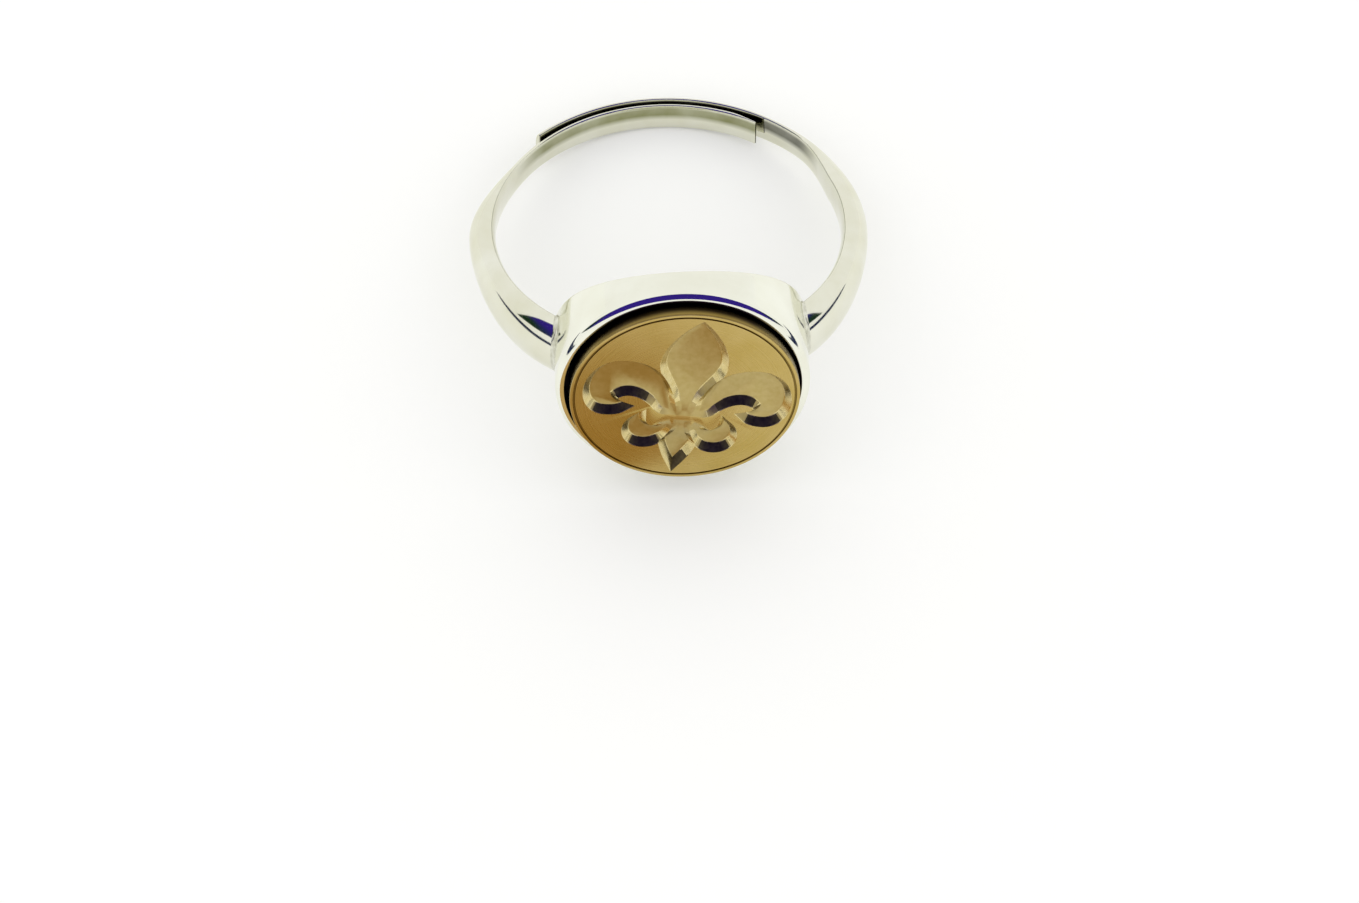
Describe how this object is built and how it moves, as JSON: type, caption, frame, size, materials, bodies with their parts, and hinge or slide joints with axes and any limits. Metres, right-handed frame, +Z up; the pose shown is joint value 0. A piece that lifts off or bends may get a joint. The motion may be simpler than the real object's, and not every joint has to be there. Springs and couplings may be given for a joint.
{
  "type": "signet ring",
  "caption": "Adjustable finger ring with a round engraved brass seal die set in a silver cup; its two sprung arms lap over each other at the back.",
  "frame": {"origin": "centre of the footprint, on the surface that the ring lies on", "axes": "+Z up from that surface; the die faces -Y and a little up, the lap of the arms is at +Y, +X is to the right when looking at the die; the finger axis leans 16.7 degrees from +Z towards +Y"},
  "size_m": [0.021, 0.0228, 0.013],
  "materials": {
    "silver": "mirror-polished silver plate",
    "brass": "turned and engraved, satin",
    "solder": "silver solder, plated over and polished",
    "epoxy": "thin clear bond line"
  },
  "bodies": {
    "head": {"bezel_cup": "silver", "seal_die": "brass", "adhesive_bed": "epoxy", "left_shoulder": "silver", "right_shoulder": "silver", "left_solder_seam": "solder", "right_solder_seam": "solder"},
    "inner_leaf": {"left_leaf": "silver"},
    "outer_leaf": {"right_leaf": "silver"}
  },
  "joints": [
    {"name": "left_arm_flex", "type": "hinge", "parent": "head", "child": "inner_leaf", "pos_m": [-0.0098, 0.00175, 0.00357], "axis": [0, 0.2882, 0.9576], "range_deg": [-4, 6]},
    {"name": "right_arm_flex", "type": "hinge", "parent": "head", "child": "outer_leaf", "pos_m": [0.0098, 0.00175, 0.00357], "axis": [0, 0.2882, 0.9576], "range_deg": [-6, 4]}
  ],
  "couplings": [
    {"joint": "right_arm_flex", "follows": "left_arm_flex", "ratio": -1}
  ]
}
